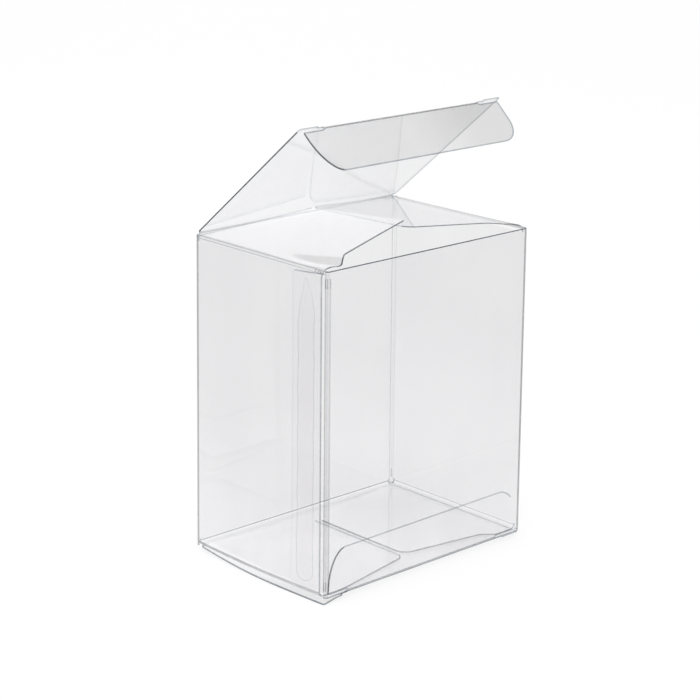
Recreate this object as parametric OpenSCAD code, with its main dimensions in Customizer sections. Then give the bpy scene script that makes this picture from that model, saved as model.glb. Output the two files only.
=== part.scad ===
// Clear favor box: one creased sheet glued into a sleeve, closed by a tuck lid and a tuck base

/* [Box] */
// Outer width of the wide front
box_w = 90; // [60:0.5:200]
// Outer depth from front to back
box_d = 63.5; // [50:0.5:150]
// Height over the closed lid
box_h = 108; // [60:0.5:300]

/* [Sheet] */
// Thickness of the clear sheet
sheet_t = 0.3; // [0.2:0.05:0.4]
// Inside radius of the four upright creases
crease_r = 0.9; // [0.3:0.05:1]
// Running gap between two panels that meet at a folding crease
crease_gap = 0.1; // [0.08:0.01:0.2]

/* [Glued seam] */
// Width of the glue flap behind the left panel
glue_flap_w = 14.9; // [10:0.1:20]
// How far the glue flap's free edge stops short of the wall's top and bottom
glue_flap_short = 2.2; // [1:0.1:6]
// Width of the line of glue
glue_w = 7.6; // [3:0.1:9]
// Thickness of the line of glue
glue_t = 0.1; // [0.05:0.01:0.2]
// From the corner to the near side of the glue
glue_in = 4.7; // [3:0.1:6]
// From the wall's top and bottom to the ends of the glue
glue_end_gap = 5; // [3:0.5:15]
// From the corner to the cut edge of the left panel
seam_in = 2.3; // [1.5:0.1:3]

/* [Lid and base] */
// How far the lid is open, above its closed place
lid_open_angle = 40; // [0:1:180]
// From the front crease of the lid or base to the inside of the front wall
front_gap = 0.55; // [0.4:0.05:1]
// How far the sides of the lid and base stay inside the outer width, each side
lid_side_in = 0.6; // [0.3:0.1:2]
// Corner radius of the lid and base
lid_corner_r = 1; // [0.4:0.1:3]
// Length of each lock slit, from the side of the lid or base
slit_len = 7.8; // [4:0.1:12]
// Width of the notch at the inner end of a lock slit
slit_notch = 2.6; // [1.5:0.1:4]
// How far the lock slit lies beyond the tuck flap's crease
slit_out = 0.8; // [0.4:0.1:1.5]
// Width of the cut of a lock slit
slit_cut = 0.2; // [0.1:0.05:0.4]

/* [Tuck flaps] */
// Length of a tuck flap from its crease
tuck_len = 16; // [12:0.5:24]
// Corner radius of a tuck flap
tuck_corner_r = 8; // [3:0.5:10]
// How far the sides of a tuck flap stay inside the outer width, each side
tuck_side_in = 1.3; // [1.2:0.1:4]

/* [Dust flaps] */
// Gap between the ends of two facing dust flaps
dust_meet = 1.7; // [0.5:0.1:20]
// Width of the lock shoulder beside the side crease
dust_shoulder = 8.5; // [6:0.1:12]
// How far the shoulder stays behind the front wall
dust_front_in = 2; // [1.8:0.1:3]
// Run of the slanted step beyond the shoulder
dust_step_run = 4.5; // [3:0.1:8]
// Depth of the slanted step
dust_step = 3.8; // [2:0.1:6]
// Taper of the front edge beyond the step
dust_front_taper = 9.5; // [0:0.5:15]
// How far the back edge stays in front of the back wall
dust_back_in = 1.2; // [0.8:0.1:3]
// Taper of the back edge
dust_back_taper = 8; // [7:0.5:15]
// Radius of the step's corners
dust_step_r = 1.6; // [0.5:0.1:1.6]
// Radius of the end's corners
dust_end_r = 4.5; // [1:0.5:8]

/* [Hidden] */
$fn = 64;
arc_steps = 10;
clear_sheet = [0.91, 0.92, 0.95, 0.45];
seam_sheet = [0.92, 0.88, 0.93, 0.5];
glue_tint = [0.85, 0.88, 0.86, 0.6];

// Middle planes and pivots of the sheet
half_t = sheet_t / 2;
corner_r = crease_r + sheet_t;
half_w = box_w / 2;
half_d = box_d / 2;
back_crease_y = half_d - half_t;
side_crease_x = half_w - half_t;
lid_crease_z = box_h - half_t;
base_crease_z = half_t;

// The walls stand between the lid and the base
wall_top = box_h - sheet_t - crease_gap;
wall_bottom = sheet_t + crease_gap;
wall_h = wall_top - wall_bottom;
flap_start = half_t + crease_gap;
inner_front_y = -half_d + sheet_t;
inner_back_y = half_d - sheet_t;

// The lid and base reach from their back crease to their tuck crease
reach = back_crease_y - inner_front_y - front_gap;
half_lid = half_w - lid_side_in;
half_tuck = half_w - tuck_side_in;
half_lock = half_lid - slit_len;
half_tuck_crease = half_lock - slit_notch;

// A tuck flap folded to this angle swings just past the front wall
swing_angle = acos(tuck_len / (2 * reach));
lid_tuck_ease_angle = 8.6;
base_tuck_ease_angle = 2.6;
lid_tuck_ratio = 0.58;
lid_tuck_angle = swing_angle - lid_tuck_ease_angle + lid_tuck_ratio * lid_open_angle;
base_tuck_angle = swing_angle - base_tuck_ease_angle;

// The top dust flaps lie under the closed lid and rise as it opens
dust_closed_angle = 7;
dust_ratio = 1 / 3;
top_dust_angle = dust_ratio * lid_open_angle - dust_closed_angle;
base_dust_angle = 2;
dust_len = half_w - dust_meet / 2 - half_t;

// The seam: the glue flap lies inside the left panel, one glue line apart
glue_flap_x = -half_w + sheet_t + glue_t;
near_corner_x = glue_flap_x + corner_r;
corner_y = -half_d + corner_r;
glue_flap_top_in = 0.8;

// Rounded outlines: each row is a point and the radius of its corner
function unit(v) = v / norm(v);
function shortest(a) = a > 180 ? a - 360 : (a < -180 ? a + 360 : a);
function corner_arc(before, at, after, r) =
    let (u = unit(before - at), v = unit(after - at))
    let (half = acos(u * v) / 2)
    let (centre = at + unit(u + v) * r / sin(half))
    let (from = at + u * r / tan(half) - centre, to = at + v * r / tan(half) - centre)
    let (a0 = atan2(from.y, from.x))
    let (turn = shortest(atan2(to.y, to.x) - a0))
    [for (i = [0:arc_steps]) centre + r * [cos(a0 + turn * i / arc_steps), sin(a0 + turn * i / arc_steps)]];
function spot(row) = [row[0], row[1]];
function rounded(rows) =
    let (n = len(rows))
    [for (i = [0:n - 1])
        each (rows[i][2] == 0 ? [spot(rows[i])]
            : corner_arc(spot(rows[(i + n - 1) % n]), spot(rows[i]), spot(rows[(i + 1) % n]), rows[i][2]))];
function mirrored(rows) = [for (i = [len(rows) - 1:-1:0]) [-rows[i][0], rows[i][1], rows[i][2]]];

// A flat panel in its own plane, its thickness shared about that plane
module sheet(rows) {
    translate([0, 0, -half_t])
        linear_extrude(sheet_t)
            polygon(rounded(rows));
}

// The round edge on which the next panel folds
module crease_along_x(length) {
    rotate([0, 90, 0])
        cylinder(h = length, r = half_t, center = true);
}

module crease_along_y(length) {
    rotate([90, 0, 0])
        cylinder(h = length, r = half_t, center = true);
}

// An upright crease between two walls
module upright_crease(x, y, start) {
    translate([x, y, wall_bottom])
        rotate_extrude(angle = 90, start = start)
            translate([crease_r, 0])
                square([sheet_t, wall_h]);
}

// A side wall's flat stretch, with the folding creases of its two dust flaps
module side_wall(x, y0, y1) {
    low = wall_bottom + half_t;
    high = wall_top - half_t;
    translate([x - half_t, y0, low])
        cube([sheet_t, y1 - y0, high - low]);
    for (z = [low, high])
        translate([x, (y0 + y1) / 2, z])
            crease_along_y(y1 - y0);
}

// Lid and base share one outline: y runs from the back crease to the tuck crease
module closure() {
    half_side = [
        [half_lid, flap_start, lid_corner_r],
        [half_lid, reach + slit_out, lid_corner_r],
        [half_lock, reach + slit_out, slit_cut],
        [half_lock, reach, 0]
    ];
    sheet(concat(half_side, mirrored(half_side)));
    translate([0, reach, 0])
        crease_along_x(2 * half_tuck_crease);
}

// A tuck flap: y runs from its crease to its free edge, with an ear beyond each lock slit
module tuck() {
    ear_y = slit_out + slit_cut;
    half_side = [
        [half_tuck_crease, flap_start, 0],
        [half_lock - slit_notch / 2, ear_y, slit_cut],
        [half_tuck, ear_y, slit_cut],
        [half_tuck, tuck_len, tuck_corner_r]
    ];
    sheet(concat(half_side, mirrored(half_side)));
}

// A dust flap: y runs from the side crease to the middle of the box, and x to the front
module dust() {
    front_x = -inner_front_y - dust_front_in;
    back_x = -inner_back_y + dust_back_in;
    step_y = dust_shoulder + dust_step_run;
    step_x = front_x - dust_step;
    end_front_x = step_x - (dust_len - step_y) * tan(dust_front_taper);
    end_back_x = back_x + dust_len * tan(dust_back_taper);
    sheet([
        [front_x, flap_start, 0],
        [front_x, dust_shoulder, dust_step_r],
        [step_x, step_y, dust_step_r],
        [end_front_x, dust_len, dust_end_r],
        [end_back_x, dust_len, dust_end_r],
        [back_x, flap_start, 0]
    ]);
}

// Places of the folding panels
module at_lid() {
    translate([0, back_crease_y, lid_crease_z])
        rotate([-lid_open_angle, 0, 0])
            rotate([0, 0, 180])
                children();
}

module at_base() {
    translate([0, back_crease_y, base_crease_z])
        rotate([0, 0, 180])
            children();
}

module at_left_crease(z, rise_angle) {
    translate([-side_crease_x, 0, z])
        rotate([0, -rise_angle, 0])
            rotate([0, 0, -90])
                children();
}

module front_panel() {
    color(clear_sheet) {
        translate([near_corner_x, -half_d, wall_bottom])
            cube([half_w - corner_r - near_corner_x, sheet_t, wall_h]);
        upright_crease(half_w - corner_r, corner_y, 270);
        upright_crease(near_corner_x, corner_y, 180);
    }
}

module right_panel() {
    color(clear_sheet) {
        side_wall(side_crease_x, corner_y, half_d - corner_r);
        upright_crease(half_w - corner_r, half_d - corner_r, 0);
    }
}

module back_panel() {
    width = box_w - 2 * corner_r;
    color(clear_sheet) {
        translate([-width / 2, half_d - sheet_t, base_crease_z])
            cube([width, sheet_t, lid_crease_z - base_crease_z]);
        for (z = [base_crease_z, lid_crease_z])
            translate([0, back_crease_y, z])
                crease_along_x(width);
        upright_crease(-half_w + corner_r, half_d - corner_r, 90);
    }
}

module left_panel() {
    color(clear_sheet)
        side_wall(-side_crease_x, -half_d + seam_in, half_d - corner_r);
}

// Outline of the glue flap: x runs up the wall and y back from the corner
module glue_flap() {
    far = corner_r + glue_flap_w;
    color(seam_sheet)
        translate([glue_flap_x + half_t, -half_d, 0])
            rotate([0, -90, 0])
                sheet([
                    [wall_top - glue_flap_top_in, corner_r, 0],
                    [wall_top - glue_flap_short, far, lid_corner_r],
                    [wall_bottom + glue_flap_short, far, lid_corner_r],
                    [wall_bottom + glue_flap_top_in, corner_r, 0]
                ]);
}

module glue_line() {
    end_r = glue_w / 2 - slit_cut;
    low = wall_bottom + glue_end_gap;
    high = wall_top - glue_end_gap;
    color(glue_tint)
        translate([-half_w + sheet_t + glue_t, -half_d + glue_in, 0])
            rotate([0, -90, 0])
                linear_extrude(glue_t)
                    polygon(rounded([
                        [low, 0, end_r],
                        [high, 0, end_r],
                        [high, glue_w, end_r],
                        [low, glue_w, end_r]
                    ]));
}

module lid_panel() {
    color(clear_sheet)
        at_lid()
            closure();
}

module lid_tuck_flap() {
    color(clear_sheet)
        at_lid()
            translate([0, reach, 0])
                rotate([lid_tuck_angle - 180, 0, 0])
                    tuck();
}

module top_left_dust_flap() {
    color(clear_sheet)
        at_left_crease(wall_top - half_t, top_dust_angle)
            dust();
}

module top_right_dust_flap() {
    color(clear_sheet)
        mirror([1, 0, 0])
            at_left_crease(wall_top - half_t, top_dust_angle)
                dust();
}

module base_panel() {
    color(clear_sheet)
        at_base()
            closure();
}

module base_tuck_flap() {
    color(clear_sheet)
        at_base()
            translate([0, reach, 0])
                rotate([180 - base_tuck_angle, 0, 0])
                    tuck();
}

module base_left_dust_flap() {
    color(clear_sheet)
        at_left_crease(wall_bottom + half_t, base_dust_angle)
            dust();
}

module base_right_dust_flap() {
    color(clear_sheet)
        mirror([1, 0, 0])
            at_left_crease(wall_bottom + half_t, base_dust_angle)
                dust();
}

front_panel();
right_panel();
back_panel();
left_panel();
glue_flap();
glue_line();
lid_panel();
lid_tuck_flap();
top_left_dust_flap();
top_right_dust_flap();
base_panel();
base_tuck_flap();
base_left_dust_flap();
base_right_dust_flap();
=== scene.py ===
import math

import bmesh
import bpy
from mathutils import Matrix, Vector


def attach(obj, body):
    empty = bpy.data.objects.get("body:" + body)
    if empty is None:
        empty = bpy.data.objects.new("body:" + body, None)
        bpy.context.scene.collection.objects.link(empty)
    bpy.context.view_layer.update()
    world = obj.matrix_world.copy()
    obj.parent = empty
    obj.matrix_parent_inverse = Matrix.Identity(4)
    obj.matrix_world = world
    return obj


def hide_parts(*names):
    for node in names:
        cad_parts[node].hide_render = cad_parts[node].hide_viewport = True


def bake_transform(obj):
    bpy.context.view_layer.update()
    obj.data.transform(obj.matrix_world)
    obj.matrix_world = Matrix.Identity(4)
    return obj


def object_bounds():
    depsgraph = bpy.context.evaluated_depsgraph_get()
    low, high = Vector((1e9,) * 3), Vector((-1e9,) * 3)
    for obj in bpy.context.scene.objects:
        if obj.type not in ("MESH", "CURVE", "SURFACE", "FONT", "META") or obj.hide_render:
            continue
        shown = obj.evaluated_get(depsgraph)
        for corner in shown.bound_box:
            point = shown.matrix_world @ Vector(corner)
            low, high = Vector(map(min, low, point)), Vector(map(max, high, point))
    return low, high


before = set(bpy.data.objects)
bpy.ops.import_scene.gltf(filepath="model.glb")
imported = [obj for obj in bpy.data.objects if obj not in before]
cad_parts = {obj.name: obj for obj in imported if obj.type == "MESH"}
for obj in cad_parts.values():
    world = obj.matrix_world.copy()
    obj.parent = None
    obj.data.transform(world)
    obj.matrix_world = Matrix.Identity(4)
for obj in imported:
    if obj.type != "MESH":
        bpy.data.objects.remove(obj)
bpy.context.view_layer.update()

# Sizes

MM = 0.001
TOUCH = 0.01 * MM  # two places that are closer than this are one

# The same as in the part's source
SHEET = 0.3 * MM
HALF_WIDTH = 45 * MM
SIDE_X = 44.85 * MM
FRONT_Y = -31.6 * MM
BACK_Y = 31.6 * MM
WALL_TOP = 107.6 * MM
WALL_BOTTOM = 0.4 * MM
LID_CREASE_Z = 107.85 * MM
BASE_CREASE_Z = 0.15 * MM
TOP_DUST_Z = 107.45 * MM
BASE_DUST_Z = 0.55 * MM
REACH = 62.5 * MM  # of the lid and the base, from crease to crease
HALF_LID = 44.4 * MM
HALF_LOCK = 36.6 * MM
HALF_TUCK_CREASE = 34.0 * MM
SLIT_OUT = 0.8 * MM
EAR = 1.0 * MM
TUCK_CORNER = 8 * MM

# The seam: the front wall's flap inside, the left wall's cut end outside and the glue between them
SEAM_X = -44.45 * MM
SEAM_EDGE_Y = -29.45 * MM
SEAM_FAR_Y = -15.65 * MM
SEAM_LOW, SEAM_HIGH = 1.2 * MM, 106.8 * MM
SEAM_TAPER = 1.4 * MM
GLUE_X = -44.65 * MM
GLUE_FRONT, GLUE_BACK = -25.95 * MM, -18.35 * MM
GLUE_LOW, GLUE_HIGH = 3.9 * MM, 103.9 * MM
GLUE_THICKNESS = 0.08 * MM
GLUE_ROUND = 3.6 * MM

# The dust flaps, seen flat: x runs along the crease to the front, y out to the free end
DUST_FRONT = 29.45 * MM
DUST_BACK = -30.25 * MM
DUST_SHOULDER = 8.5 * MM
DUST_STEP = 13 * MM
DUST_LENGTH = 44 * MM
DUST_TAPER = 8  # degrees, at the back edge
STEPPED_FRONTS = (DUST_FRONT, 25.65 * MM, 20.46 * MM)  # where the front edge is at shoulder, step and end
STRAIGHT_FRONTS = (DUST_FRONT, 28.9 * MM, 22.3 * MM)

# The tuck flaps as the photo shows them, a little longer and narrower than in the source
HALF_TUCK = 42.9 * MM
TUCK_LENGTH = 16.7 * MM
TUCK_LEFT_CORNER = 1.75 * TUCK_CORNER
TUCK_ROOT_OUT = 1.3 * MM  # how much wider the tuck gets between its crease and its ears

# Angles in degrees
LID_OPEN = 40.35
LID_TUCK_TURN = 82.75
BASE_TUCK_TURN = 91
TOP_DUST_RISE = 6.33
BASE_DUST_RISE = 2

# The middle of the sheet bends round these radii
CREASE_R = 1.05 * MM
FOLD_R = 0.9 * MM
TUCK_CREASE_R = 0.7 * MM
BASE_FOLD_R = 1.4 * MM
CREASE_STEPS = 5
FOLD_STEPS = 6
# Each folding crease is a strip that reaches this far onto both of its panels
LEAF = 1.75 * MM
LID_LEAF = 0.75 * MM

# Small corners that the die leaves round
CORNER = 1 * MM
LOCK_ROUND = 0.25 * MM
EAR_ROUND = 0.3 * MM
DUST_ROUND = 0.6 * MM

# A strip along each cut edge is tinted grey: painted shade for the dark line that the cut edge shows where it
# bends light away
EDGE_STRIP = 0.4 * MM
FRONT_EDGE_STRIP = 0.75 * EDGE_STRIP
GLUE_EDGE_STRIP = 0.35 * MM
# Along each upright crease, where the creasing rule presses the sheet, a line of painted shade runs short of
# the wall's ends, darker where it ends
RULE_WIDTH = 0.3 * MM
RULE_START, RULE_STOP = WALL_BOTTOM + 2.3 * MM, WALL_TOP - 2.3 * MM
RULE_DARK = 3.2 * MM

# How far apart the cuts are that let a flat sheet curve
WALL_GRID = 6 * MM
FLAP_GRID = 5 * MM

# How far the folded box has settled out of square and flat
RACK = -0.4 * MM  # the front top edge, along x
FRONT_BOW = 0.25 * MM
SIDE_BOW = 0.15 * MM
LID_BOW = 0.35 * MM
LID_SKEW = 1.0 * MM
LID_NARROW = 0.2 * MM
BASE_DROOP = 1.6 * MM
DROOP_FULL = 0.6  # the share of the base's depth over which the droop grows
BASE_FLARE = 0.75 * MM
BASE_SAG = 0.3 * MM
LEFT_BULGE = 1.2 * MM
BULGE_RUN = 25 * MM
SLUMP, SLUMP_MORE, SLUMP_IN = 0.35 * MM, 0.75 * MM, 0.5 * MM
# The top right dust flap springs up beside its crease, and its end drops and lies further back
ARCH = 1.7 * MM
ARCH_RUN = 3.5 * MM
ARCH_FADE = 0.95
END_DROP = 1.9 * MM
END_BACK, END_BACK_MORE = 1.2 * MM, 2.2 * MM
# The top left one is twisted, from this rise in degrees at its back to more at its front, and has a dip
TWIST_BACK, TWIST_MORE = 4.4, 6.6
DIP = 1.0 * MM
DIP_AT = 3.6 * MM
DIP_WIDE = 2.5 * MM
DIP_LONG = 16 * MM
DIP_SPREAD = 4.0 * MM
DIP_SPREAD_RUN = 6 * MM
# Its fold opens out to a wide bend at the front end, and has pinch marks of painted shade across it at these
# distances from that end
WIDE_FOLD_R = 2.6 * MM
WIDE_FOLD_RUN = 6 * MM
PINCHES = ((0.9 * MM, 1.3 * MM), (1.9 * MM, 2.3 * MM), (3.2 * MM, 3.5 * MM))

X, Y, Z = Vector((1, 0, 0)), Vector((0, 1, 0)), Vector((0, 0, 1))

# A piece's finishes, in the order of its material slots
PLAIN, EDGE, BEND, LINE, LINE_END, PALE_EDGE = range(6)


def lean(degrees):
    """Cosine and sine of an angle in degrees."""
    return math.cos(math.radians(degrees)), math.sin(math.radians(degrees))


def lift(degrees):
    """How much a slope of this angle rises for each step along it."""
    return math.tan(math.radians(degrees))


# The lid rises from its crease at the back, and the base runs forward from its own
LID_CREASE_AT = Vector((0, BACK_Y, LID_CREASE_Z))
LID_WAY = Vector((0, -lean(LID_OPEN)[0], lean(LID_OPEN)[1]))
LID_UNDER = Vector((0, -lean(LID_OPEN)[1], -lean(LID_OPEN)[0]))
LID_TUCK_AT = LID_CREASE_AT + LID_WAY * REACH
BASE_CREASE_AT = Vector((0, BACK_Y, BASE_CREASE_Z))
BASE_TUCK_AT = Vector((0, BACK_Y - REACH, BASE_CREASE_Z))


# Camera

PHOTO_WIDTH = 700
FOCAL_LENGTH = 2137.4  # in pixels of the photo
CAMERA_AT = Vector((-467.92, -492.75, 271.24)) * MM
CAMERA_TURN, CAMERA_DOWN, CAMERA_ROLL = -43.18, 16.735, 0.711  # degrees


def aim_camera():
    """The camera stands in front of the box, to its left and a little above it."""
    data = bpy.data.cameras.new("camera")
    camera = bpy.data.objects.new("camera", data)
    bpy.context.scene.collection.objects.link(camera)
    data.sensor_width = 36
    data.lens = FOCAL_LENGTH / PHOTO_WIDTH * data.sensor_width
    data.clip_start, data.clip_end = 0.01, 50
    turn = Matrix.Rotation(math.radians(CAMERA_TURN), 4, "Z")
    tilt = Matrix.Rotation(math.radians(90 - CAMERA_DOWN), 4, "X")
    roll = Matrix.Rotation(math.radians(CAMERA_ROLL), 4, "Z")
    camera.matrix_world = Matrix.Translation(CAMERA_AT) @ turn @ tilt @ roll
    bpy.context.scene.camera = camera


# Finishes

class Nodes:
    """The nodes of one finish, or of the room."""

    def __init__(self, tree):
        self.tree = tree
        tree.nodes.clear()

    def add(self, kind, inputs=(), **settings):
        """Adds a node. Each input gets a value, or a link from another node's output."""
        made = self.tree.nodes.new(kind)
        for key, value in settings.items():
            setattr(made, key, value)
        for key, value in dict(inputs).items():
            if isinstance(value, bpy.types.NodeSocket):
                self.tree.links.new(value, made.inputs[key])
            else:
                made.inputs[key].default_value = value
        return made

    def math(self, operation, *values):
        """The result of a sum on these values or outputs."""
        return self.add("ShaderNodeMath", enumerate(values), operation=operation).outputs[0]

    def ramp(self, value, before, after, **settings):
        """Carries a value from the range before to the range after, and holds it at the ends."""
        inputs = {"Value": value, "From Min": before[0], "From Max": before[1],
                  "To Min": after[0], "To Max": after[1]}
        return self.add("ShaderNodeMapRange", inputs, **settings).outputs["Result"]


def start_finish(name):
    """A new finish and its nodes."""
    material = bpy.data.materials.new(name)
    material.use_nodes = True
    return material, Nodes(material.node_tree)


def clear_finish(name, deep, pale, smooth, dull, wave, drawn, mirror=0.049, bend_power=5.0, room=1.0,
                 right_end_shade=1.0):
    """Clear plastic: light goes straight through it, and its surface mirrors more at a flat angle.

    deep and pale are the tints of what goes through, which vary in streaks and clouds.
    smooth and dull are the ends of the gloss's roughness, and wave is how uneven the surface is.
    drawn is how closely the streaks follow each other along x, y and z: far apart, they run long.
    mirror is how much the sheet mirrors seen straight on, bend_power how soon that grows as the
    surface turns away, and room the tone of what the gloss shows, which below 1 is a painted shade on the
    gloss.
    right_end_shade is a painted shade: the share of the tint that is left where the sheet is painted darker
    towards the box's right side."""
    material, nodes = start_finish(name)
    place = nodes.add("ShaderNodeTexCoord").outputs["Object"]
    along = nodes.add("ShaderNodeMapping", {"Vector": place, "Scale": drawn}).outputs["Vector"]
    streaks = nodes.add("ShaderNodeTexNoise", {"Vector": along, "Scale": 60.0, "Detail": 3.0,
                                               "Roughness": 0.6}).outputs["Fac"]
    clouds = nodes.add("ShaderNodeTexNoise", {"Vector": place, "Scale": 26.0, "Detail": 2.0}).outputs["Fac"]
    uneven = nodes.ramp(nodes.math("MULTIPLY", streaks, clouds), (0.12, 0.42), (0, 1))
    tint = nodes.add("ShaderNodeMix", {0: uneven, 6: (*deep, 1), 7: (*pale, 1)}, data_type="RGBA").outputs[2]
    # Painted shade: the tint grows darker across x towards the box's right side.
    if right_end_shade != 1.0:
        across = nodes.add("ShaderNodeSeparateXYZ", {0: place}).outputs["X"]
        painted_shade = nodes.ramp(across, (0, 26 * MM), (1, right_end_shade))
        tint = nodes.add("ShaderNodeVectorMath", {0: tint, "Scale": painted_shade}, operation="SCALE").outputs[0]
    rub = nodes.ramp(clouds, (0.3, 0.75), (smooth, dull))
    bump = nodes.add("ShaderNodeBump", {"Height": clouds, "Strength": wave,
                                        "Distance": 0.8 * MM}).outputs["Normal"]
    facing = nodes.add("ShaderNodeLayerWeight", {"Blend": 0.5, "Normal": bump}).outputs["Facing"]
    mirrored = nodes.math("MULTIPLY_ADD", nodes.math("POWER", facing, bend_power), 1 - mirror, mirror)
    through = nodes.add("ShaderNodeBsdfTransparent", {"Color": tint}).outputs[0]
    gloss = nodes.add("ShaderNodeBsdfGlossy", {"Color": (room, room, room * 1.01, 1), "Roughness": rub,
                                               "Normal": bump}).outputs[0]
    both = nodes.add("ShaderNodeMixShader", {0: mirrored, 1: through, 2: gloss}).outputs[0]
    nodes.add("ShaderNodeOutputMaterial", {"Surface": both})
    return material


FLAT_SHEET = dict(smooth=0.01, dull=0.05, wave=0.06, drawn=(1, 1, 0.12))
CUT = dict(smooth=0.08, dull=0.25, wave=0.1, drawn=(6, 6, 6))
CUT_INSIDE = dict(smooth=0.05, dull=0.2, wave=0.1, drawn=(4, 4, 4))
SHADED_TIGHT_BEND = dict(smooth=0.05, dull=0.15, wave=0.1, drawn=(4, 4, 4), bend_power=1.5, room=0.42)
OPEN_BEND = dict(smooth=0.05, dull=0.15, wave=0.1, drawn=(4, 4, 4), bend_power=3.0, room=0.9)
SHADED_PRESSED = dict(smooth=0.1, dull=0.25, wave=0.1, drawn=(4, 4, 1), bend_power=1.5, room=0.22)
GLUED = dict(smooth=0.06, dull=0.2, wave=0.4, drawn=(1, 1, 0.3), mirror=0.008)

# Each finish: its material's name, its deep and pale tints, and how its surface is made
FINISH_LIST = {
    # The panels' sheet finishes are copies of one clear sheet whose tints paint the shade and light each
    # panel shows: the far walls and the base are shaded darkest, and the base's flaps, also used on the top
    # right flap, are painted palest.
    "sheet": ("clear_sheet_finish", (0.976, 0.975, 0.979), (0.990, 0.989, 0.992), FLAT_SHEET),
    "lid_sheet": ("lid_sheet_finish", (0.965, 0.966, 0.970), (0.980, 0.981, 0.983), FLAT_SHEET),
    "tuck_sheet": ("tuck_sheet_finish", (0.968, 0.967, 0.967), (0.980, 0.979, 0.979),
                   dict(FLAT_SHEET, right_end_shade=0.921)),
    "shaded_far_sheet": ("far_sheet_finish", (0.929, 0.929, 0.932), (0.944, 0.944, 0.946), FLAT_SHEET),
    "top_flap_sheet": ("top_flap_sheet_finish", (0.972, 0.971, 0.974), (0.985, 0.984, 0.986), FLAT_SHEET),
    "base_flap_sheet": ("flap_sheet_finish", (0.982, 0.982, 0.985), (0.994, 0.994, 0.996), FLAT_SHEET),
    "shaded_base_sheet": ("base_sheet_finish", (0.927, 0.927, 0.930), (0.942, 0.942, 0.944),
                   dict(FLAT_SHEET, right_end_shade=0.955)),
    # The edge finishes paint the shade of the cut edges, as darker and paler copies where the line shows
    # darker and paler.
    "edge": ("cut_edge_shade_finish", (0.24, 0.26, 0.28), (0.38, 0.40, 0.42), CUT),
    "lid_edge": ("lid_edge_shade_finish", (0.08, 0.09, 0.10), (0.18, 0.20, 0.22), CUT),
    "base_edge": ("base_edge_shade_finish", (0.44, 0.46, 0.48), (0.58, 0.60, 0.62), CUT),
    "pale_edge": ("pale_edge_shade_finish", (0.64, 0.66, 0.68), (0.76, 0.78, 0.79), CUT),
    # Painted shade in the creases: the bends and the pressed lines are darker copies of the sheet, with a
    # dimmed gloss.
    "bend": ("bend_finish", (0.955, 0.957, 0.962), (0.975, 0.977, 0.980), SHADED_TIGHT_BEND),
    "open_bend": ("open_bend_finish", (0.975, 0.977, 0.980), (0.988, 0.989, 0.991), OPEN_BEND),
    "line": ("pressed_line_shade_finish", (0.915, 0.915, 0.92), (0.955, 0.955, 0.96), SHADED_PRESSED),
    "line_end": ("deep_line_shade_finish", (0.70, 0.70, 0.71), (0.82, 0.82, 0.83), SHADED_PRESSED),
    "seam": ("seam_sheet_finish", (0.994, 0.990, 0.992), (1.0, 0.998, 1.0), dict(FLAT_SHEET, mirror=0.005)),
    "seam_edge": ("seam_edge_finish", (0.965, 0.968, 0.972), (0.985, 0.985, 0.988), CUT_INSIDE),
    "glue_edge": ("glue_edge_finish", (0.90, 0.91, 0.92), (0.96, 0.96, 0.97), CUT_INSIDE),
    "glue": ("clear_glue_finish", (0.990, 0.988, 0.988), (1.0, 0.998, 0.998), GLUED),
}
finishes = {key: clear_finish(name, deep, pale, **surface)
            for key, (name, deep, pale, surface) in FINISH_LIST.items()}


# Bench work

def put_down():
    """Leaves edit mode with nothing selected."""
    if bpy.context.object and bpy.context.object.mode != "OBJECT":
        bpy.ops.object.mode_set(mode="OBJECT")
    bpy.ops.object.select_all(action="DESELECT")


def pick_up(piece):
    """The piece alone is selected and active."""
    put_down()
    piece.select_set(True)
    bpy.context.view_layer.objects.active = piece


def pick(kind, test):
    """Selects the points, edges or faces whose middle passes the test."""
    mesh = bmesh.from_edit_mesh(bpy.context.object.data)
    bpy.ops.mesh.select_mode(type=kind)
    bpy.ops.mesh.select_all(action="DESELECT")
    found = 0
    for item in {"VERT": mesh.verts, "EDGE": mesh.edges, "FACE": mesh.faces}[kind]:
        points = [item.co] if kind == "VERT" else [v.co for v in item.verts]
        if test(sum(points, Vector()) / len(points)):
            item.select_set(True)
            found += 1
    mesh.select_flush_mode()
    bmesh.update_edit_mesh(bpy.context.object.data)
    return found


def blank(name, left, right, near, far):
    """A flat rectangle of sheet, open for cutting. The near edge is the one by the crease."""
    put_down()
    bpy.ops.mesh.primitive_plane_add(size=1, location=((left + right) / 2, (near + far) / 2, 0))
    piece = bpy.context.object
    piece.name = piece.data.name = name
    piece.scale = (right - left, far - near, 1)
    bpy.ops.object.transform_apply(location=True, rotation=False, scale=True)
    bpy.ops.object.mode_set(mode="EDIT")
    return piece


def score(across, along):
    """Cuts straight lines through the blank at these places, which splits its faces and removes nothing."""
    for places, direction in ((across, X), (along, Y)):
        for place in places:
            bpy.ops.mesh.select_mode(type="FACE")
            bpy.ops.mesh.select_all(action="SELECT")
            bpy.ops.mesh.bisect(plane_co=direction * place, plane_no=direction)


def steps_between(low, high, step):
    """Evenly spaced places between two ends, without the ends."""
    count = max(1, round((high - low) / step))
    return [low + (high - low) * i / count for i in range(1, count)]


def draw_out(test, step):
    """Extrudes the edges that pass the test by one step."""
    pick("EDGE", test)
    bpy.ops.mesh.extrude_region_move(TRANSFORM_OT_translate={"value": step})


def stretch(test, factor, about):
    """Resizes the points that pass the test about a place."""
    pick("VERT", test)
    bpy.ops.transform.resize(value=factor, center_override=about)


def one_face():
    """Joins the blank's faces into one, so that its corners can be rounded."""
    bpy.ops.mesh.select_mode(type="FACE")
    bpy.ops.mesh.select_all(action="SELECT")
    bpy.ops.mesh.dissolve_faces()
    bpy.ops.mesh.select_mode(type="VERT")


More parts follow.
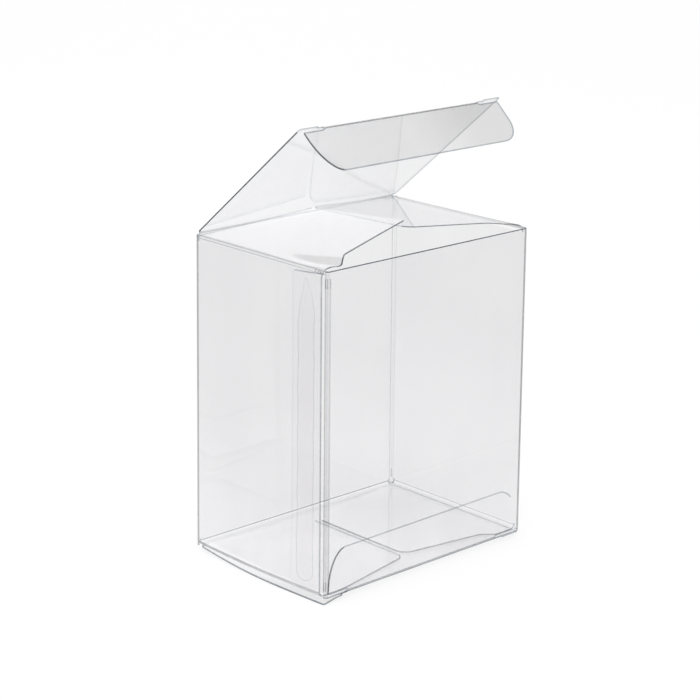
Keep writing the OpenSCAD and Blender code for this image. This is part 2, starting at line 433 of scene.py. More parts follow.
def round_off(places, cut, steps):
    """Rounds the outline's corners at these places, cutting back this far along both sides."""
    for place in places:
        spot = Vector((*place, 0))
        pick("VERT", lambda p: (p - spot).length < 5 * TOUCH)
        bpy.ops.mesh.bevel(offset_type="OFFSET", offset=cut, segments=steps, profile=0.5, affect="VERTICES")


def strip_edges(width=EDGE_STRIP):
    """Insets a narrow strip along the whole outline, and leaves it selected."""
    bpy.ops.mesh.select_mode(type="FACE")
    bpy.ops.mesh.select_all(action="SELECT")
    bpy.ops.mesh.inset(thickness=width, use_boundary=True, use_even_offset=True)
    bpy.ops.mesh.select_all(action="INVERT")


def give(slot, test=None):
    """Gives a finish to the faces that are selected, or to those that pass the test."""
    piece = bpy.context.object
    while len(piece.data.materials) <= slot:
        piece.data.materials.append(None)
    if test is None or pick("FACE", test):
        piece.active_material_index = slot
        bpy.ops.object.material_slot_assign()


def give_over(old, new, test):
    """Gives the new finish to the faces that have the old one and pass the test."""
    pick("FACE", test)
    mesh = bmesh.from_edit_mesh(bpy.context.object.data)
    for face in mesh.faces:
        face.select_set(face.select and face.material_index == old)
    bmesh.update_edit_mesh(bpy.context.object.data)
    if any(face.select for face in mesh.faces):
        give(new)


def change_finish(piece, *changes):
    """Takes a piece that has been put down up again, and gives over its finishes."""
    pick_up(piece)
    bpy.ops.object.mode_set(mode="EDIT")
    for old, new, test in changes:
        give_over(old, new, test)
    put_down()


def copy_of(piece, name):
    """A copy with its own mesh."""
    pick_up(piece)
    bpy.ops.object.duplicate()
    made = bpy.context.object
    made.name = made.data.name = name
    return made


def bow(piece, rise):
    """Moves each point off the flat plane by rise(x, y), in metres."""
    put_down()
    for point in piece.data.vertices:
        point.co.z += rise(point.co.x, point.co.y)


def thicken(piece, thickness=SHEET):
    """Gives the flat piece the thickness of the sheet, half to each side."""
    pick_up(piece)
    solid = piece.modifiers.new("thickness", "SOLIDIFY")
    solid.thickness = thickness
    solid.offset = 0
    solid.use_even_offset = True
    bpy.ops.object.modifier_apply(modifier=solid.name)
    bpy.ops.object.mode_set(mode="EDIT")
    bpy.ops.mesh.select_all(action="SELECT")
    bpy.ops.mesh.normals_make_consistent(inside=False)
    bpy.ops.object.mode_set(mode="OBJECT")
    bpy.ops.object.shade_smooth_by_angle(angle=math.radians(40))


def place_at(piece, origin, across, along):
    """Sets the piece in the box: its x runs along across and its y along along."""
    pick_up(piece)
    across, along = across.normalized(), along.normalized()
    out = across.cross(along)
    turn = Matrix((across, along, out)).transposed().to_4x4()
    piece.matrix_world = Matrix.Translation(origin) @ turn
    bpy.ops.object.transform_apply(location=True, rotation=True, scale=True)


def dress(piece, sheet="sheet", edge="edge", bend="bend"):
    """Fills the piece's material slots."""
    for slot, key in enumerate((sheet, edge, bend, "line", "line_end", "pale_edge")):
        if slot < len(piece.data.materials):
            piece.data.materials[slot] = finishes[key]
        else:
            piece.data.materials.append(finishes[key])


# How the folded sheet settles out of square. Each shift says how far a place in the box moves

def settle(piece, *shifts):
    """Moves each point by what the shifts say of its place. The walls' spread feet move every piece."""
    put_down()
    for point in piece.data.vertices:
        place = point.co.copy()
        for shift in (*shifts, flare):
            point.co += shift(place)


def within(value):
    """The value, held between 0 and 1."""
    return min(1, max(0, value))


def rack(p):
    """The front top edge has slid to the left, and the walls lean with it."""
    return X * RACK * p.z / WALL_TOP * (BACK_Y - p.y) / (2 * BACK_Y)


def skew(p):
    """The lid's front runs to the right and is a little narrower than its crease."""
    along = within((p - LID_CREASE_AT).dot(LID_WAY) / REACH)
    return X * along * (LID_SKEW - LID_NARROW * p.x / HALF_LID)


def droop(p):
    """The base hangs down along its left edge, most of all at the front shoulder."""
    along = within((BACK_Y - p.y) / REACH)
    left = within(-p.x / HALF_LID)
    down = BASE_DROOP * math.sin(math.pi / 2 * min(1, along / DROOP_FULL)) * left ** (3 + 6 * along)
    return Z * -down - X * BASE_FLARE * along * left ** 2


def sag(p):
    """The base and the two flaps on it hang down a little in the middle."""
    along = within((BACK_Y - p.y) / REACH)
    return Z * -BASE_SAG * (1 - (2 * along - 1) ** 4) * max(0, 1 - (p.x / HALF_LID) ** 2)


def lie_flat(p):
    """The base's dust flaps lie flat on it."""
    return Z * -max(0, SIDE_X - abs(p.x)) * lift(BASE_DUST_RISE)


def slump(p):
    """The base's tuck flap has slid down behind the front wall, the furthest at its left end."""
    left = (HALF_TUCK - p.x) / (2 * HALF_TUCK)
    return (Z * -(SLUMP + SLUMP_MORE * left) + X * SLUMP_IN * left) * p.z / TUCK_LENGTH


def twist_left(p):
    """The top left dust flap stands up higher at its front than at its back, and has a shallow dip there."""
    out = max(0, p.x + SIDE_X)
    if not out:
        return Vector()
    front = (DUST_FRONT - p.y) / (DUST_FRONT - DUST_BACK)
    back = p.y + DUST_FRONT
    dip_at = DIP_AT + DIP_SPREAD * math.exp(-max(0, back) / DIP_SPREAD_RUN)
    rise = out * (lift(TWIST_BACK + TWIST_MORE * front) - lift(TOP_DUST_RISE))
    return Z * (rise - DIP * math.exp(-((out - dip_at) / DIP_WIDE) ** 2 - (back / DIP_LONG) ** 2))


def arch_right(p):
    """The top right dust flap springs up from its crease and flattens towards its end."""
    out = max(0, SIDE_X - p.x)
    front = (DUST_FRONT - p.y) / (DUST_FRONT - DUST_BACK)
    end = out / DUST_LENGTH
    arch = front * ARCH * (1 - math.exp(-out / ARCH_RUN)) * (1 - ARCH_FADE * end)
    return Z * (arch - (1 - front) * END_DROP * end) + Y * end * (END_BACK + END_BACK_MORE * (1 - front))


def flare(p):
    """The closed base spreads the walls' feet, and pushes the left wall's foot out in the middle."""
    height = within(p.z / WALL_TOP)
    side = p.x / HALF_WIDTH
    spread = BASE_FLARE * (1 - height) * side * abs(side)
    if side < 0:
        spread *= within((p.y + BACK_Y) / (2 * BACK_Y))
    middle = max(0, math.cos(math.pi * p.y / (2 * BACK_Y)))
    bulge = LEFT_BULGE * middle * math.exp(-max(0, p.z) / BULGE_RUN) * max(0, -side) ** 3
    return X * (spread - bulge)


def open_fold(p):
    """Carries the left wall's top, its crease and the flap's root onto a wider bend, widest in front."""
    turn = math.radians(90 - TOP_DUST_RISE)
    c, s = lean(TOP_DUST_RISE)
    root = Vector((-SIDE_X, p.y, TOP_DUST_Z))
    flap_way, flap_out = Vector((c, 0, s)), Vector((-s, 0, c))
    narrow = FOLD_R * math.tan(turn / 2)
    radius = FOLD_R + (WIDE_FOLD_R - FOLD_R) * math.exp(-max(0, p.y + DUST_FRONT) / WIDE_FOLD_RUN)
    wide = radius * math.tan(turn / 2)
    spread, away = (p - root).dot(flap_way), (p - root).z
    if away < -narrow:
        along, proud = away, -SIDE_X - p.x
    elif spread > narrow:
        along, proud = spread, (p - root).dot(flap_out)
    else:
        middle = root + X * FOLD_R - Z * narrow
        turned = math.atan2((p - middle).z, -(p - middle).x)
        along = (2 * turned / turn - 1) * narrow
        proud = (p - middle).length - FOLD_R
    if abs(along) >= wide:
        return Vector()
    turned = (along + wide) / (2 * wide) * turn
    middle = root + X * radius - Z * wide
    return middle + Vector((-math.cos(turned), 0, math.sin(turned))) * (radius + proud) - p


# Walls, cut flat as seen from outside

def score_line_ends():
    """Cuts the rows where the pressed lines start, darken and end."""
    score([], [RULE_START, RULE_START + RULE_DARK, RULE_STOP - RULE_DARK, RULE_STOP])


def shade_pressed_line(inside):
    """Gives the faces inside the painted shade of a pressed line, darker where it starts and ends."""
    give(LINE, lambda p: inside(p) and RULE_START < p.y < RULE_STOP)
    give(LINE_END, lambda p: inside(p) and (RULE_START < p.y < RULE_START + RULE_DARK
                                            or RULE_STOP - RULE_DARK < p.y < RULE_STOP))


def corner(end, height_middle):
    """Carries the wall's end round the upright crease with a spin. The bend is painted with shade, and its
    middle with the darker painted shade of a pressed line.
    """
    side = 1 if end > 0 else -1
    pick("EDGE", lambda p: abs(p.x - end) < TOUCH)
    bpy.ops.mesh.spin(steps=CREASE_STEPS, angle=-side * math.radians(90),
                      center=(end, height_middle, -CREASE_R), axis=(0, 1, 0))

    def bent(p):
        return side * (p.x - end) > TOUCH

    def half_way(p):
        return abs(math.degrees(math.atan2(side * (p.x - end), p.z + CREASE_R)) - 45) < 5

    give(BEND, bent)
    shade_pressed_line(lambda p: bent(p) and half_way(p))


def make_front_wall():
    """The wide front wall. Its top and bottom are cut edges, and both its ends turn round a crease."""
    left, right = SEAM_X + CREASE_R, SIDE_X - CREASE_R
    piece = blank("front_wall", left, right, WALL_BOTTOM, WALL_TOP)
    score(steps_between(left, right, WALL_GRID), [WALL_BOTTOM + EDGE_STRIP, WALL_TOP - FRONT_EDGE_STRIP])
    score([left + RULE_WIDTH], steps_between(WALL_BOTTOM, WALL_TOP, WALL_GRID))
    score_line_ends()
    middle = (WALL_BOTTOM + WALL_TOP) / 2
    corner(right, middle)
    corner(left, middle)
    # Beside the seam the wall's end and the last step of the bend get the painted shade of a pressed line
    shade_pressed_line(lambda p: left < p.x < left + RULE_WIDTH or p.x < left - 0.95 * CREASE_R)
    give(EDGE, lambda p: p.y > WALL_TOP - FRONT_EDGE_STRIP)
    give(PALE_EDGE, lambda p: p.y < WALL_BOTTOM + EDGE_STRIP or p.x > right and p.y > WALL_TOP - EDGE_STRIP)
    bow(piece, lambda x, y: FRONT_BOW * math.sin(math.pi * within((x - left) / (right - left)))
        * math.sin(math.pi * y / WALL_TOP))
    thicken(piece)
    place_at(piece, Y * FRONT_Y, X, Z)
    return piece


def make_side_wall(name, front_end, back_end, has_corner):
    """A narrow side wall. Between its two dust flaps' ends it stops at their creases."""
    low, high = BASE_DUST_Z + LEAF, TOP_DUST_Z - LEAF
    hinge_ends = [-DUST_FRONT, -DUST_BACK]
    piece = blank(name, front_end, back_end, low, high)
    score(steps_between(*hinge_ends, FLAP_GRID) + hinge_ends, steps_between(low, high, WALL_GRID))
    # Close rows under the crease, where the wall's top can bend
    score([], [high - 0.5 * MM, high - 1.0 * MM, high - 1.6 * MM])

    def past_hinge(p):
        return p.x < hinge_ends[0] or p.x > hinge_ends[1]

    draw_out(lambda p: p.y > high - TOUCH and past_hinge(p), (0, WALL_TOP - high - EDGE_STRIP, 0))
    draw_out(lambda p: p.y > WALL_TOP - EDGE_STRIP - TOUCH, (0, EDGE_STRIP, 0))
    draw_out(lambda p: p.y < low + TOUCH and past_hinge(p), (0, WALL_BOTTOM - low + EDGE_STRIP, 0))
    draw_out(lambda p: p.y < WALL_BOTTOM + EDGE_STRIP + TOUCH, (0, -EDGE_STRIP, 0))
    if has_corner:
        score_line_ends()
        corner(back_end, (low + high) / 2)
    give(PALE_EDGE, lambda p: p.y > WALL_TOP - EDGE_STRIP or p.y < WALL_BOTTOM + EDGE_STRIP)
    return piece


def bow_side(piece, outward):
    """The side wall bows by a hair in its middle."""
    bow(piece, lambda x, y: outward * SIDE_BOW * math.cos(math.pi * x / (2 * BACK_Y))
        * math.sin(math.pi * y / WALL_TOP))


def make_right_wall():
    """The right wall, which turns round the back right crease."""
    piece = make_side_wall("right_wall", FRONT_Y + CREASE_R, BACK_Y - CREASE_R, True)
    bow_side(piece, 1)
    thicken(piece)
    place_at(piece, X * SIDE_X, Y, Z)
    return piece


def make_left_wall():
    """The last wall of the sheet: its front end is a cut edge, glued over the seam flap."""
    piece = make_side_wall("left_wall", SEAM_EDGE_Y, BACK_Y - CREASE_R, False)
    score([SEAM_EDGE_Y + EDGE_STRIP], [])
    give(PALE_EDGE, lambda p: p.x < SEAM_EDGE_Y + EDGE_STRIP)
    bow_side(piece, -1)
    thicken(piece)
    place_at(piece, X * -SIDE_X, Y, Z)
    return piece


def make_back_wall():
    """The wide back wall, which carries the lid and the base and turns round the back left crease."""
    low, high = BASE_CREASE_Z + LEAF, LID_CREASE_Z - LID_LEAF
    end = SIDE_X - CREASE_R
    piece = blank("back_wall", -end, end, low, high)
    score(steps_between(-end, end, WALL_GRID), steps_between(low, high, WALL_GRID))
    score_line_ends()
    corner(end, (low + high) / 2)
    draw_out(lambda p: p.y > high - TOUCH and p.x > end + TOUCH, (0, WALL_TOP - high, 0))
    draw_out(lambda p: p.y < low + TOUCH and p.x > end + TOUCH, (0, WALL_BOTTOM - low, 0))
    thicken(piece)
    place_at(piece, Y * BACK_Y, -X, Z)
    return piece


def make_seam_flap():
    """The flap of the front wall that lies inside the left wall, shorter towards its free edge."""
    near = FRONT_Y + CREASE_R
    length = SEAM_HIGH - SEAM_LOW
    piece = blank("seam_flap", near, SEAM_FAR_Y, SEAM_LOW, SEAM_HIGH)
    stretch(lambda p: p.x > SEAM_FAR_Y - TOUCH, (1, 1 - 2 * SEAM_TAPER / length, 1),
            (SEAM_FAR_Y, (SEAM_LOW + SEAM_HIGH) / 2, 0))
    round_off([(SEAM_FAR_Y, SEAM_LOW + SEAM_TAPER), (SEAM_FAR_Y, SEAM_HIGH - SEAM_TAPER)], CORNER, 4)
    strip_edges()
    give(EDGE)
    give(PALE_EDGE, lambda p: p.y > SEAM_HIGH - CORNER and p.x < SEAM_FAR_Y - EDGE_STRIP)
    give(PLAIN, lambda p: p.x < near + EDGE_STRIP)
    score(steps_between(near, SEAM_FAR_Y, 5 * MM), steps_between(SEAM_LOW, SEAM_HIGH, 8 * MM))
    thicken(piece)
    place_at(piece, X * SEAM_X, Y, Z)
    return piece


def make_glue_bead():
    """The line of glue between the seam flap and the left wall, squeezed flat: pointed where the brush
    lifted off at the top, round at the bottom, and with edges that sway a little."""
    piece = blank("glue_bead", GLUE_FRONT, GLUE_BACK, GLUE_LOW, GLUE_HIGH)
    round_off([(GLUE_FRONT, GLUE_LOW), (GLUE_BACK, GLUE_LOW)], GLUE_ROUND, 8)
    strip_edges(GLUE_EDGE_STRIP)
    give(EDGE)
    score([], steps_between(GLUE_LOW, GLUE_HIGH, 2.5 * MM))
    middle = (GLUE_FRONT + GLUE_BACK) / 2
    put_down()
    # It reaches its full width 9 mm down at the front side and 12 mm down at the back
    for point in piece.data.vertices:
        down = max(0, (GLUE_HIGH - point.co.y) / MM)
        if point.co.x < middle:
            wide = min(1, down / 9) ** 0.6
        else:
            wide = min(1, 0.15 + down / 14)
        sway = 0.12 * MM * math.sin(down * 0.9) + 0.1 * MM * math.sin(down * 0.37 + 1)
        point.co.x = middle + (point.co.x - middle) * wide + sway * (0.3 + wide)
    thicken(piece, GLUE_THICKNESS)
    place_at(piece, X * GLUE_X, Y, Z)
    return piece


# Lid, base and flaps, cut flat: x runs along the crease and y away from it

def cut_closure(name, leaf):
    """The lid or the base: a lock shoulder stands beyond the tuck crease at both sides, beside a notch."""
    short, tip = REACH - LID_LEAF, REACH + SLIT_OUT
    piece = blank(name, -HALF_LID, HALF_LID, leaf, short)
    score([-HALF_LOCK, -HALF_TUCK_CREASE, HALF_TUCK_CREASE, HALF_LOCK], [])
    draw_out(lambda p: p.y > short - TOUCH and abs(p.x) > HALF_TUCK_CREASE, (0, LID_LEAF, 0))
    draw_out(lambda p: p.y > REACH - TOUCH and abs(p.x) > HALF_LOCK, (0, SLIT_OUT, 0))
    one_face()
    round_off([(-HALF_LID, tip), (HALF_LID, tip), (-HALF_LID, leaf), (HALF_LID, leaf)], CORNER, 5)
    round_off([(-HALF_LOCK, tip), (HALF_LOCK, tip)], LOCK_ROUND, 3)
    strip_edges()
    give(EDGE)
    give(PLAIN, lambda p: p.y < leaf + EDGE_STRIP and abs(p.x) < HALF_LID - CORNER)
    give(PLAIN, lambda p: short - EDGE_STRIP < p.y < short and abs(p.x) < HALF_TUCK_CREASE)
    give_over(EDGE, PALE_EDGE, lambda p: p.x < CORNER - HALF_LID or p.y > short)
    score(steps_between(-HALF_LID, HALF_LID, FLAP_GRID), steps_between(leaf, REACH, FLAP_GRID))
    put_down()
    return piece


def cut_tuck(name, leaf):
    """A tuck flap: two round corners at its free edge, and an ear beside each lock shoulder."""
    piece = blank(name, -HALF_TUCK, HALF_TUCK, EAR, TUCK_LENGTH)
    root = HALF_TUCK_CREASE + TUCK_ROOT_OUT
    score([-root, root], [])
    draw_out(lambda p: p.y < EAR + TOUCH and abs(p.x) < root, (0, leaf - EAR, 0))
    stretch(lambda p: p.y < leaf + TOUCH, (HALF_TUCK_CREASE / root, 1, 1), (0, leaf, 0))
    one_face()
    round_off([(-HALF_TUCK, TUCK_LENGTH)], TUCK_CORNER, 12)
    round_off([(HALF_TUCK, TUCK_LENGTH)], TUCK_LEFT_CORNER, 12)
    round_off([(-HALF_TUCK, EAR), (HALF_TUCK, EAR)], EAR_ROUND, 3)
    strip_edges()
    give(EDGE)
    give(PLAIN, lambda p: p.y < leaf + EDGE_STRIP and abs(p.x) < HALF_TUCK_CREASE)
    give_over(EDGE, PALE_EDGE,
              lambda p: p.y > TUCK_LENGTH - EDGE_STRIP or p.y < EAR + EDGE_STRIP or p.x < 0)
    score(steps_between(-HALF_TUCK, HALF_TUCK, FLAP_GRID), steps_between(0, TUCK_LENGTH, 4 * MM))
    put_down()
    return piece


def set_ends(far, back, front):
    """Moves the two ends of the blank's far edge to their places along the crease."""
    mesh = bmesh.from_edit_mesh(bpy.context.object.data)
    ends = sorted((v for v in mesh.verts if v.co.y > far - TOUCH), key=lambda v: v.co.x)
    ends[0].co.x, ends[1].co.x = back, front
    bmesh.update_edit_mesh(bpy.context.object.data)


def cut_dust(name, end_corner, end_finish, fronts=STEPPED_FRONTS):
    """A dust flap: a wide shoulder beside the crease, then a step at its front, and a tapered end."""
    outs = (DUST_SHOULDER, DUST_STEP, DUST_LENGTH)
    backs = [DUST_BACK + out * lift(DUST_TAPER) for out in outs]
    piece = blank(name, DUST_BACK + LEAF * lift(DUST_TAPER), DUST_FRONT, LEAF, DUST_SHOULDER)
    set_ends(DUST_SHOULDER, backs[0], fronts[0])
    for last, out, back, front in zip(outs, outs[1:], backs[1:], fronts[1:]):
        draw_out(lambda p: p.y > last - TOUCH, (0, out - last, 0))
        set_ends(out, back, front)
    one_face()
    round_off([(fronts[0], DUST_SHOULDER), (fronts[1], DUST_STEP)], DUST_ROUND, 4)
    round_off([(backs[2], DUST_LENGTH), (fronts[2], DUST_LENGTH)], end_corner, 8)
    strip_edges()
    give(EDGE)
    give_over(EDGE, PALE_EDGE, lambda p: p.x < backs[2] + end_corner or p.y < LEAF + 2 * MM)
    give(end_finish, lambda p: p.y > DUST_LENGTH - EDGE_STRIP)
    give(PLAIN, lambda p: p.y < LEAF + EDGE_STRIP and DUST_BACK + 0.6 * MM < p.x < DUST_FRONT - EDGE_STRIP)
    score(steps_between(DUST_BACK, DUST_FRONT, 4 * MM), steps_between(LEAF, DUST_LENGTH, 3 * MM))
    # Close rows beside the crease, where the flap can bend
    score([], [LEAF + step * MM for step in (0.5, 1.0, 1.6, 2.3, 3.9, 4.8, 5.7, 7.5, 8.4)])
    put_down()
    return piece


# Creases that fold

def make_crease(name, half_length, leaf, radius, turn, at, way, inward, line=LINE, far_line=LINE, pinches=()):
    """A folding crease between two panels: a narrow leaf on the first, which runs along way, a bend spun
    through the turn, and a narrow leaf on the second. The bend is painted with shade; line and far_line are
    the painted shade of its first and last steps, and pinches are marks of painted shade across it near one
    end."""
    cut_back = radius * math.tan(math.radians(turn) / 2)
    c, s = lean(turn)
    piece = blank(name, -half_length, half_length, -leaf, -cut_back)
    ends = [EDGE_STRIP - half_length, half_length - EDGE_STRIP]
    score(steps_between(-half_length, half_length, FLAP_GRID) + ends, [])
    pick("EDGE", lambda p: p.y > -cut_back - TOUCH)
    bpy.ops.mesh.spin(steps=FOLD_STEPS, angle=-math.radians(turn), center=(0, -cut_back, radius), axis=X)
    tip, onward = Vector((0, cut_back * c, cut_back * s)), Vector((0, c, s))
    draw_out(lambda p: abs(p.y - tip.y) < TOUCH and abs(p.z - tip.z) < TOUCH, onward * (leaf - cut_back))
    one_step = radius * math.sin(math.radians(turn / FOLD_STEPS))

    def bent(p):
        return p.y >= -cut_back and (p - tip).dot(onward) <= 0

    give(BEND, bent)
    give(line, lambda p: bent(p) and p.y + cut_back < one_step)
    give(far_line, lambda p: bent(p) and (p - tip).dot(onward) > -one_step)
    give(PALE_EDGE, lambda p: abs(p.x) > half_length - EDGE_STRIP)
    if pinches:
        score([edge - half_length for pinch in pinches for edge in pinch], [])
        give(LINE_END, lambda p: bent(p) and any(low < p.x + half_length < high for low, high in pinches))
    thicken(piece)
    place_at(piece, at, way.cross(inward), way)
    return piece


# Room

def lay_floor(height):
    """A plain pale floor, lit as any surface is, and white to the camera. In the mirror of the clear sheet it
    glows with a painted reflection, brightest behind the box and under it, and dimmer in front of it and at
    its sides."""
    put_down()
    bpy.ops.mesh.primitive_plane_add(size=6, location=(0, 0, height))
    floor = bpy.context.object
    floor.name = "floor"
    material, nodes = start_finish("pale_floor")
    rays = nodes.add("ShaderNodeLightPath").outputs
    place = nodes.add("ShaderNodeTexCoord").outputs["Object"]
    parts = nodes.add("ShaderNodeSeparateXYZ", {0: place}).outputs
    distance = nodes.add("ShaderNodeVectorMath", {0: place}, operation="LENGTH").outputs["Value"]
    # Painted reflection: how brightly the floor glows to mirrored rays at each place.
    ahead = nodes.ramp(parts["Y"], (-0.28, -0.08), (0.85, 0.5))
    behind = nodes.ramp(parts["Y"], (-0.04, 0.06), (0.0, 0.62))
    left = nodes.ramp(parts["X"], (-0.13, -0.05), (0.3, 1.0))
    right = nodes.ramp(parts["X"], (0.10, 0.155), (1.0, 0.6))
    near = nodes.ramp(distance, (0.05, 0.12), (0.5, 0.0))
    tone = nodes.math("MULTIPLY", nodes.math("ADD", ahead, behind), left)
    tone = nodes.math("MULTIPLY_ADD", tone, right, near)
    mirrored = nodes.math("MULTIPLY", rays["Is Glossy Ray"], tone)
    seen = nodes.math("MAXIMUM", rays["Is Camera Ray"], rays["Is Transmission Ray"])
    seen = nodes.math("MAXIMUM", seen, mirrored)
    lit = nodes.add("ShaderNodeBsdfDiffuse", {"Color": (0.30, 0.30, 0.30, 1)}).outputs[0]
    white = nodes.add("ShaderNodeEmission", {"Color": (1, 1, 1, 1), "Strength": 0.785}).outputs[0]
    dark = nodes.add("ShaderNodeEmission", {"Color": (0, 0, 0, 1), "Strength": 0.0}).outputs[0]
    glow = nodes.add("ShaderNodeMixShader", {0: seen, 1: dark, 2: white}).outputs[0]
    both = nodes.add("ShaderNodeAddShader", {0: lit, 1: glow}).outputs[0]
    nodes.add("ShaderNodeOutputMaterial", {"Surface": both})
    floor.data.materials.append(material)


def light_room():
    """A pale room to the camera. The sheet mirrors its bright backdrop low down and a dimmer part above."""
    world = bpy.data.worlds.new("room")
    bpy.context.scene.world = world
    world.use_nodes = True
    nodes = Nodes(world.node_tree)
    rays = nodes.add("ShaderNodeLightPath").outputs
    way = nodes.add("ShaderNodeTexCoord").outputs["Generated"]
    up = nodes.add("ShaderNodeSeparateXYZ", {0: way}).outputs["Z"]
    high = nodes.ramp(up, (0.50, 0.60), (1.0, 0.3), interpolation_type="SMOOTHSTEP")
    low = nodes.ramp(up, (0.15, 0.4), (0.1, 0.0))
    mirrored = nodes.math("MULTIPLY", rays["Is Glossy Ray"], nodes.math("ADD", high, low))
    seen = nodes.math("MAXIMUM", rays["Is Camera Ray"], rays["Is Transmission Ray"])
    seen = nodes.math("MAXIMUM", seen, mirrored)
    light = nodes.math("MULTIPLY", 0.6, rays["Is Diffuse Ray"])
    background = nodes.add("ShaderNodeBackground", {"Strength": nodes.math("MAXIMUM", seen, light)})
    nodes.add("ShaderNodeOutputWorld", {"Surface": background.outputs[0]})
    hang_softbox("overhead_softbox", Vector((-0.3, -0.1, 1.5)), 1.2, 1.2, 9)
    hang_softbox("back_softbox", Vector((1.05, 1.25, 0.66)), 1.5, 0.78, 1.5)


def hang_softbox(name, place, wide, tall, power):
    """A soft lamp that faces the box, in metres and watts."""
    lamp = bpy.data.lights.new(name, "AREA")
    lamp.shape = "RECTANGLE"
    lamp.size, lamp.size_y = wide, tall
    lamp.energy = power
    holder = bpy.data.objects.new(name, lamp)
    bpy.context.scene.collection.objects.link(holder)
    holder.location = place
    holder.rotation_euler = (-place).to_track_quat("-Z", "Y").to_euler()
    holder.visible_camera = False


def set_scene():
    """Light may pass through all the sheets that lie behind each other."""
    scene = bpy.context.scene
    scene.view_settings.view_transform = "Standard"
    scene.cycles.transparent_max_bounces = 64
    scene.cycles.max_bounces = 20
    scene.cycles.glossy_bounces = 12


# Assembly

def fit(piece, body, node, shifts=(), slot="clear_sheet", **look):
    """Gives the piece its finishes, and lets it ride on its body in place of its plain solid."""
    dress(piece, **look)
    settle(piece, *shifts)
    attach(piece, body)
    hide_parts(node)


def fit_walls():
    """The sleeve: four walls, the seam flap and the glue."""
    fit(make_front_wall(), "sleeve", "front_panel", [rack])
    fit(make_right_wall(), "sleeve", "right_panel", [rack], sheet="shaded_far_sheet")
    fit(make_back_wall(), "sleeve", "back_panel", sheet="shaded_far_sheet")
    fit(make_left_wall(), "sleeve", "left_panel", [open_fold, rack])
    fit(make_seam_flap(), "sleeve", "glue_flap", [rack], sheet="seam", edge="seam_edge")
    fit(make_glue_bead(), "sleeve", "glue_line", [rack], slot="clear_glue", sheet="glue", edge="glue_edge")


def fit_closures():
    """The lid rises from its crease and the base lies flat, each with a tuck flap folded from its front."""
    lid = cut_closure("lid", LID_LEAF)
    base = cut_closure("base", LEAF)
    # On the box's left, where x is larger in the flat blank, the base's edge is painted darker and its end
    # paler, as painted shade and painted light
    change_finish(base, (PALE_EDGE, EDGE, lambda p: p.x > 0),
                  (PLAIN, BEND, lambda p: p.x > HALF_LID - 5 * MM))
    lid_tuck = cut_tuck("lid_tuck", LID_LEAF)
    base_tuck = copy_of(lid_tuck, "base_tuck")
    change_finish(base_tuck, (PALE_EDGE, PLAIN, lambda p: p.x < 2 * MM - HALF_TUCK))

    bow(lid, lambda x, y: LID_BOW * math.sin(math.pi * y / REACH) * math.cos(math.pi * x / (2 * HALF_LID)))
    thicken(lid)
    place_at(lid, LID_CREASE_AT, -X, LID_WAY)
    fit(lid, "lid", "lid_panel", [skew], sheet="lid_sheet", edge="lid_edge")

    c, s = lean(LID_TUCK_TURN)
    thicken(lid_tuck)
    place_at(lid_tuck, LID_TUCK_AT, -X, LID_WAY * c + LID_UNDER * s)
    fit(lid_tuck, "lid_tuck", "lid_tuck_flap", [skew], sheet="tuck_sheet")

    thicken(base)
    place_at(base, BASE_CREASE_AT, -X, -Y)
    fit(base, "base", "base_panel", [droop, sag],
        sheet="shaded_base_sheet", edge="base_edge", bend="base_flap_sheet")

    c, s = lean(BASE_TUCK_TURN)
    thicken(base_tuck)
    place_at(base_tuck, BASE_TUCK_AT, -X, -Y * c + Z * s)
    fit(base_tuck, "base_tuck", "base_tuck_flap", [slump], sheet="seam")


def fit_dust_flap(piece, side, height, rise, shifts, **look):
    """Sets a dust flap on the left wall, side -1, or on the right wall, side 1."""
    c, s = lean(rise)
    thicken(piece)
    place_at(piece, Vector((side * SIDE_X, 0, height)), -Y, Vector((-side * c, 0, s)))
    fit(piece, piece.name, piece.name + "_flap", shifts, **look)


def fit_dust_flaps():
    """Two dust flaps over the box's mouth, and two on its base. The photo shows each with its own edges."""
    top_left = cut_dust("top_left_dust", end_corner=1 * MM, end_finish=PLAIN)
    top_right = cut_dust("top_right_dust", end_corner=3.9 * MM, end_finish=PALE_EDGE)
    base_right = copy_of(top_right, "base_right_dust")
    base_left = cut_dust("base_left_dust", end_corner=2.6 * MM, end_finish=PALE_EDGE, fronts=STRAIGHT_FRONTS)

    def at_back(p):
        return p.x < -20 * MM

    # Painted shade on the edges: the darker and paler edge finishes differ from flap to flap.
    change_finish(base_right, (PALE_EDGE, EDGE, lambda p: not at_back(p)), (PALE_EDGE, PLAIN, at_back))
    change_finish(base_left, (PALE_EDGE, PLAIN, at_back))
    on_base = dict(sheet="base_flap_sheet", edge="base_edge")
    fit_dust_flap(top_left, -1, TOP_DUST_Z, TOP_DUST_RISE, [open_fold, rack, twist_left],
                  sheet="top_flap_sheet")
    fit_dust_flap(top_right, 1, TOP_DUST_Z, TOP_DUST_RISE, [rack, arch_right], sheet="base_flap_sheet")
    fit_dust_flap(base_left, -1, BASE_DUST_Z, BASE_DUST_RISE, [lie_flat, sag], **on_base)
    fit_dust_flap(base_right, 1, BASE_DUST_Z, BASE_DUST_RISE, [lie_flat, sag], **on_base)


def fold(name, half_length, leaf, radius, turn, at, way, inward, bodies, shifts=(), bend="bend", **marks):
    """Makes the crease between its two panels, dresses it and settles it in place; bodies is not used."""
    piece = make_crease(name, half_length, leaf, radius, turn, at, way, inward, **marks)
    dress(piece, bend=bend)
    settle(piece, *shifts)
    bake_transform(piece)


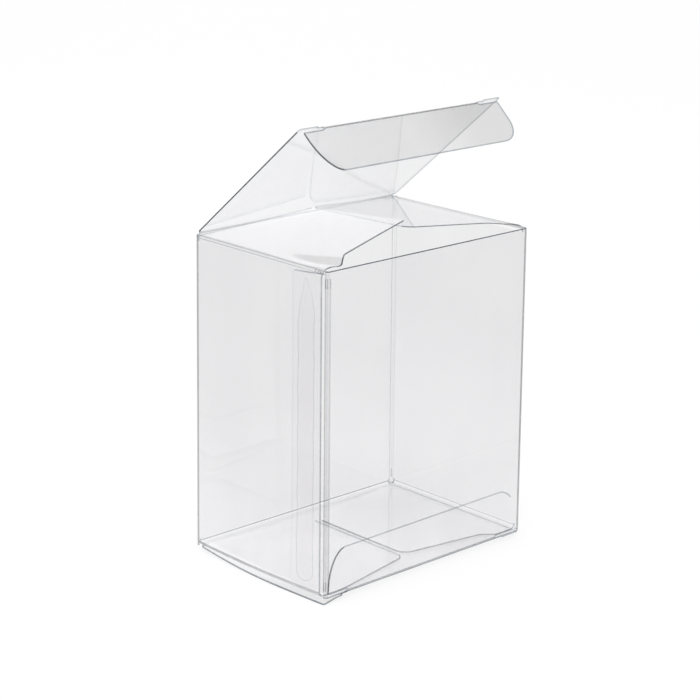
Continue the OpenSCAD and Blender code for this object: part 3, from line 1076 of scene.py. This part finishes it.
def fold_dust_crease(flap, side, height, radius, turn, way, shifts, **look):
    """The crease between a side wall and its dust flap."""
    middle, half = -(DUST_FRONT + DUST_BACK) / 2, (DUST_FRONT - DUST_BACK) / 2
    fold(flap.replace("dust", "crease"), half, LEAF, radius, turn, Vector((side * SIDE_X, middle, height)),
         way, -X * side, ("sleeve", flap), shifts, **look)


def fold_creases():
    """The eight creases that move: the box's lid, base and flaps turn on them."""
    half_back = SIDE_X - CREASE_R - 0.3 * MM
    fold("lid_crease", half_back, LID_LEAF, FOLD_R, 90 - LID_OPEN, LID_CREASE_AT, Z, -Y, ("sleeve", "lid"))
    fold("lid_tuck_crease", HALF_TUCK_CREASE, LID_LEAF, TUCK_CREASE_R, LID_TUCK_TURN, LID_TUCK_AT, LID_WAY,
         LID_UNDER, ("lid", "lid_tuck"), [skew], line=LINE_END, far_line=LINE_END)
    top_turn, base_turn = 90 - TOP_DUST_RISE, 90 + BASE_DUST_RISE
    fold_dust_crease("top_left_dust", -1, TOP_DUST_Z, FOLD_R, top_turn, Z, [open_fold, rack, twist_left],
                     bend="open_bend", pinches=PINCHES)
    fold_dust_crease("top_right_dust", 1, TOP_DUST_Z, FOLD_R, top_turn, Z, [rack, arch_right])
    fold("base_crease", half_back, LEAF, BASE_FOLD_R, 90, BASE_CREASE_AT, -Z, -Y, ("sleeve", "base"),
         bend="open_bend", line=LINE_END, far_line=BEND)
    fold("base_tuck_crease", HALF_TUCK_CREASE, LID_LEAF, TUCK_CREASE_R, BASE_TUCK_TURN, BASE_TUCK_AT, -Y, Z,
         ("base", "base_tuck"), [droop, slump])
    fold_dust_crease("base_left_dust", -1, BASE_DUST_Z, BASE_FOLD_R, base_turn, -Z, [lie_flat, sag],
                     bend="open_bend")
    fold_dust_crease("base_right_dust", 1, BASE_DUST_Z, BASE_FOLD_R, base_turn, -Z, [lie_flat, sag],
                     bend="open_bend", far_line=BEND)


aim_camera()
set_scene()
light_room()
fit_walls()
fit_closures()
fit_dust_flaps()
fold_creases()

low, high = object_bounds()
lay_floor(low.z)
